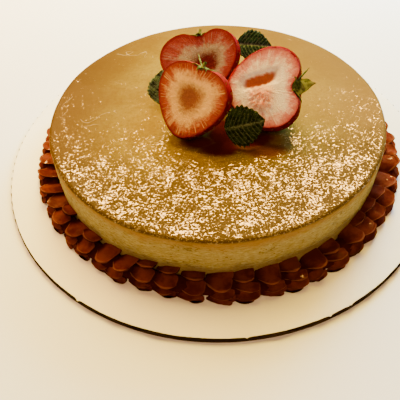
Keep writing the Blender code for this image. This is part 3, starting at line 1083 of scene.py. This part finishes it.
def build_sepal(turn, length, width, rise, curl):
    """A pointed strip that leaves the stalk, rises and curls back at its tip."""
    deselect_all()
    bpy.ops.mesh.primitive_grid_add(x_subdivisions=14, y_subdivisions=4, size=1)
    sepal = bpy.context.object
    places = vertices_of(sepal)
    along = places[:, 0] + 0.5
    side = places[:, 1] * 2
    broad = np.clip(np.sin(math.pi * np.clip(along * 0.90 + 0.10, 0, 1) ** 0.75), 0.02, 1) ** 1.15
    out = length * np.sin(along * 1.25) / math.sin(1.25)
    up = rise * along - curl * along**3 + 0.15 * width * np.abs(side) * broad
    move_vertices(sepal, np.stack([out, side * width / 2 * broad, up], axis=1))
    paint(sepal, "towards_tip", smooth_step(along, 0.65, 1.0) * 0.7)
    sepal.rotation_euler = (0, 0, math.radians(turn))
    return sepal


def build_crown(name, berry):
    deselect_all()
    bpy.ops.mesh.primitive_cone_add(
        vertices=16, radius1=3.2 * MM, radius2=1.2 * MM, depth=2.2 * MM, location=(0, 0, 0.4 * MM)
    )
    hub = bpy.context.object
    edit(hub)
    pick(hub, "FACE", lambda f: f.normal.z > 0.9)
    bpy.ops.mesh.extrude_region_move(TRANSFORM_OT_translate={"value": (0.6 * MM, 0.3 * MM, 2.5 * MM)})
    bpy.ops.transform.resize(value=(0.8, 0.8, 1))
    bpy.ops.object.mode_set(mode="OBJECT")
    only(hub)
    bpy.ops.object.transform_apply(location=True, rotation=True, scale=True)
    paint(hub, "towards_tip", np.zeros(len(hub.data.vertices)))
    sepals = [build_sepal(*sepal) for sepal in SEPALS[name]]
    blades = join_all(sepals)
    bpy.ops.object.transform_apply(location=True, rotation=True, scale=True)
    apply_modifier(blades, "blade", "SOLIDIFY", thickness=SEPAL_THICK, offset=0)
    crown = join_all([hub, blades])
    stalk = berry["size"][2] / 2 * (1 - berry["dimple"]) - 0.5 * NOTCHES[name][1]
    crown.matrix_world = berry_pose(berry) @ Matrix.Translation((0, -0.5 * berry["cut"], stalk))
    only(crown)
    bpy.ops.object.transform_apply(location=True, rotation=True, scale=True)
    clouds(crown, ("crumple", 5 * MM, 1.4 * MM))
    places = vertices_of(crown)
    # Sepals that reach too high are pressed down
    base = CROWN_LIMIT - CROWN_SQUASH
    tallest = max(places[:, 2].max(), CROWN_LIMIT)
    above = np.maximum(places[:, 2] - base, 0)
    places[:, 2] -= above * (1 - CROWN_SQUASH / (tallest - base))
    move_vertices(crown, places)
    crown.data.materials.clear()
    crown.data.materials.append(CROWN)
    finish_piece(crown, "berry_crown_" + name, "crown", "crown_" + name, angle=50)


for berry_name, berry_shape in BERRIES.items():
    build_crown(berry_name, berry_shape)


# ---- Mint leaves ---------------------------------------------------------------------------------

LEAF_ALONG, LEAF_ACROSS = 84, 40
LEAF_BLADE = 0.5 * MM
LEAF_TEETH = 9
LEAF_VEINS = 7
# The share of each tooth that rises before its point
TOOTH_RISE = 0.72
# Places are measured from the middle of the flan's top; each leaf's greens are painted to how light falls
# on it: the front leaf darker as painted shade, the left one lighter and bluer as painted highlight, the
# back one's pale teal veins as painted sheen
LEAVES = {
    "front": dict(
        width=26.2 * MM, stalk=(6.2 * MM, -38 * MM, 10.8 * MM), tip=(30.5 * MM, -37.5 * MM, 15.7 * MM),
        facing=(-0.04, -0.92, 0.38), curl=-2.0 * MM, fold=2.0 * MM, finish="mint_shaded",
        deep=(0.007, 0.012, 0.0015), light=(0.021, 0.037, 0.007), vein=(0.180, 0.215, 0.090),
    ),
    "back": dict(
        width=22.0 * MM, stalk=(16.5 * MM, 44 * MM, 20.5 * MM), tip=(40.7 * MM, 38.8 * MM, 22 * MM),
        facing=(0.10, -0.60, 0.79), curl=-2.5 * MM, fold=0.4 * MM, finish="mint_blue_sheen",
        deep=(0.003, 0.010, 0.007), light=(0.009, 0.026, 0.019), vein=(0.200, 0.260, 0.210),
    ),
    "left": dict(
        width=21.5 * MM, stalk=(-36.5 * MM, -0.5 * MM, 2.0 * MM), tip=(-35.5 * MM, 11.8 * MM, 21 * MM),
        facing=(-0.30, -0.80, 0.50), curl=-2.0 * MM, fold=1.5 * MM, finish="mint_lit",
        deep=(0.012, 0.024, 0.015), light=(0.120, 0.190, 0.110), vein=(0.300, 0.370, 0.260),
    ),
}


def mint_finish(leaf):
    gloss = dict(Coat_Weight=0.004, Coat_Roughness=0.25)
    mix = Finish(leaf["finish"], Roughness=0.42, Specular_Ior_Level=0.0, **gloss)
    tone = mix.noise(3.2 * MM, 3, 0.65)
    shade = mix.mix(mix.ramp(tone, 0.38, 0.62), leaf["deep"], leaf["light"])
    broken = mix.ramp(mix.noise(1.3 * MM, 2, 0.6), 0.38, 0.60, 0.25, 1.0)
    # The veins are paler: partly their own paler green, partly a painted sheen along them
    shade = mix.mix(mix.times(mix.painted("vein"), broken), shade, leaf["vein"])
    # Pale specks: partly hairs, partly painted glints on the quilting
    hairs_and_glints = mix.ramp(mix.noise(0.8 * MM, 2, 0.6), 0.58, 0.72, 0, 0.55)
    shade = mix.mix(hairs_and_glints, shade, leaf["vein"])
    mix.set(Base_Color=shade, Normal=mix.relief(mix.noise(1.1 * MM, 3, 0.6), 0.30 * MM))
    return mix.material


def build_leaf(name, leaf):
    """A broad toothed leaf, quilted between its sunken veins."""
    stalk, tip = Vector(leaf["stalk"]), Vector(leaf["tip"])
    length, width = (tip - stalk).length, leaf["width"]
    deselect_all()
    bpy.ops.mesh.primitive_grid_add(x_subdivisions=LEAF_ALONG, y_subdivisions=LEAF_ACROSS, size=1)
    made = bpy.context.object
    places = vertices_of(made)
    along = places[:, 0] + 0.5
    side = places[:, 1] * 2
    broad = np.clip(np.sin(math.pi * np.clip(along, 0.004, 0.996) ** 0.8), 0, 1) ** 0.72
    tooth = (along * LEAF_TEETH) % 1.0
    saw = np.where(tooth < TOOTH_RISE, tooth / TOOTH_RISE, (1 - tooth) / (1 - TOOTH_RISE))
    rim = 1 + (0.13 * saw - 0.07) * smooth_step(along, 0.02, 0.15)
    half = width / 2 * broad
    across = side * half * (1 + (rim - 1) * np.abs(side) ** 3)
    # Side veins leave the midrib and sweep towards the tip
    swept = along - 0.30 * np.abs(side) ** 1.25 * broad
    phase = swept * LEAF_VEINS * 1.35
    near_vein = np.abs((phase % 1.0) - 0.5) * 2
    vein = np.exp(-(((1 - near_vein) / 0.17) ** 2))
    midrib = np.exp(-((side * broad / 0.055) ** 2))
    minor = np.abs(np.sin(np.abs(side) * broad * 11 + 2.2 * np.sin(phase * math.pi)))
    quilt = (1 - vein) * (0.65 + 0.35 * minor) * smooth_step(np.abs(side) * broad, 0.02, 0.16)
    lift = 0.95 * MM * quilt * (1 - smooth_step(np.abs(side), 0.86, 1.0)) - 0.35 * MM * midrib
    wavy = 0.5 * MM * np.abs(side) ** 2 * np.sin(along * math.tau * 3.1 + 1.3 * np.sign(side))
    up = leaf["curl"] * along**2 + leaf["fold"] * np.abs(side) * broad + lift + wavy
    move_vertices(made, np.stack([length * along, across, up], axis=1))
    paint(made, "vein", np.maximum(vein * 0.8, midrib))
    apply_modifier(made, "blade", "SOLIDIFY", thickness=LEAF_BLADE, offset=-1)
    way = (tip - stalk).normalized()
    sideways = Vector(leaf["facing"]).cross(way).normalized()
    upper = way.cross(sideways)
    foot = Matrix.Translation(stalk + Vector((0, 0, FLAN_TOP)))
    made.matrix_world = foot @ Matrix((way, sideways, upper)).transposed().to_4x4()
    made.data.materials.append(mint_finish(leaf))
    finish_piece(made, "mint_" + name, "mint", "mint_leaf_" + name, angle=60)


for leaf_name, leaf_shape in LEAVES.items():
    build_leaf(leaf_name, leaf_shape)


# ---- Floor, light and camera ---------------------------------------------------------------------


def lamp(name, place, size, radiance, colour, glossy=False):
    """A soft area lamp that faces the flan. It lights either the gloss or everything else.

    Its size is in metres, and its radiance in watts for each square metre and steradian."""
    light = bpy.data.lights.new(name, "AREA")
    light.shape = "RECTANGLE"
    light.size, light.size_y = size
    light.energy = radiance * math.pi * size[0] * size[1]
    light.color = colour
    made = bpy.data.objects.new(name, light)
    bpy.context.scene.collection.objects.link(made)
    made.location = place
    made.rotation_euler = (Vector((0, 0, 0.03)) - Vector(place)).to_track_quat("-Z", "Y").to_euler()
    made.visible_camera = False
    made.visible_glossy = glossy
    made.visible_diffuse = not glossy
    return made


def around(azimuth, elevation, distance):
    """A place at so many degrees clockwise from straight behind the flan."""
    a, e = math.radians(azimuth), math.radians(elevation)
    level = distance * math.cos(e)
    return (level * math.sin(a), level * math.cos(a), distance * math.sin(e))


def build_stage():
    deselect_all()
    bpy.ops.mesh.primitive_plane_add(size=4, location=(0, 0, 0))
    floor = bpy.context.object
    floor.name = "table_top"
    mix = Finish("pale_table", Base_Color=(0.80, 0.80, 0.80), Roughness=0.5, Specular_Ior_Level=0.0)
    floor.data.materials.append(mix.material)

    lamp("high_window", around(0, 55, 1.0), (0.5, 0.5), 49.0, (1.0, 0.67, 0.06))
    lamp("low_window", around(0, 32, 1.0), (0.5, 0.5), 33.0, (0.92, 1.0, 0.62))
    lamp("left_window", around(-52, 30, 0.85), (0.5, 0.5), 19.0, (1.0, 0.54, 0.25))
    lamp("right_sky", (0.35, 0.65, 0.35), (0.3, 0.3), 84.0, (0.22, 0.52, 1.00))
    lamp("room_front", around(180, 55, 1.0), (0.5, 0.5), 7.6, (1.0, 0.56, 0.27))
    lamp("skylight", around(2, 50, 1.2), (1.5, 0.62), 150.0, (1.0, 0.50, 0.10), glossy=True)
    world = bpy.data.worlds.new("room")
    bpy.context.scene.world = world
    world.use_nodes = True
    world.node_tree.nodes["Background"].inputs[0].default_value = (0.040, 0.030, 0.016, 1)
    world.node_tree.nodes["Background"].inputs[1].default_value = 1.0


# The view, from above and in front: where the eye is, how it is turned in degrees, and its lens in mm
EYE = (0, -0.22856, 0.21339)
EYE_TURN = (39.309, 2.102, 0.961)
SENSOR_WIDTH = LENS = 36


def build_camera():
    data = bpy.data.cameras.new("view")
    data.sensor_width = SENSOR_WIDTH
    data.lens = LENS
    data.clip_start = 0.01
    camera = bpy.data.objects.new("view", data)
    bpy.context.scene.collection.objects.link(camera)
    camera.location = EYE
    camera.rotation_euler = [math.radians(a) for a in EYE_TURN]
    bpy.context.scene.camera = camera


build_stage()
build_camera()
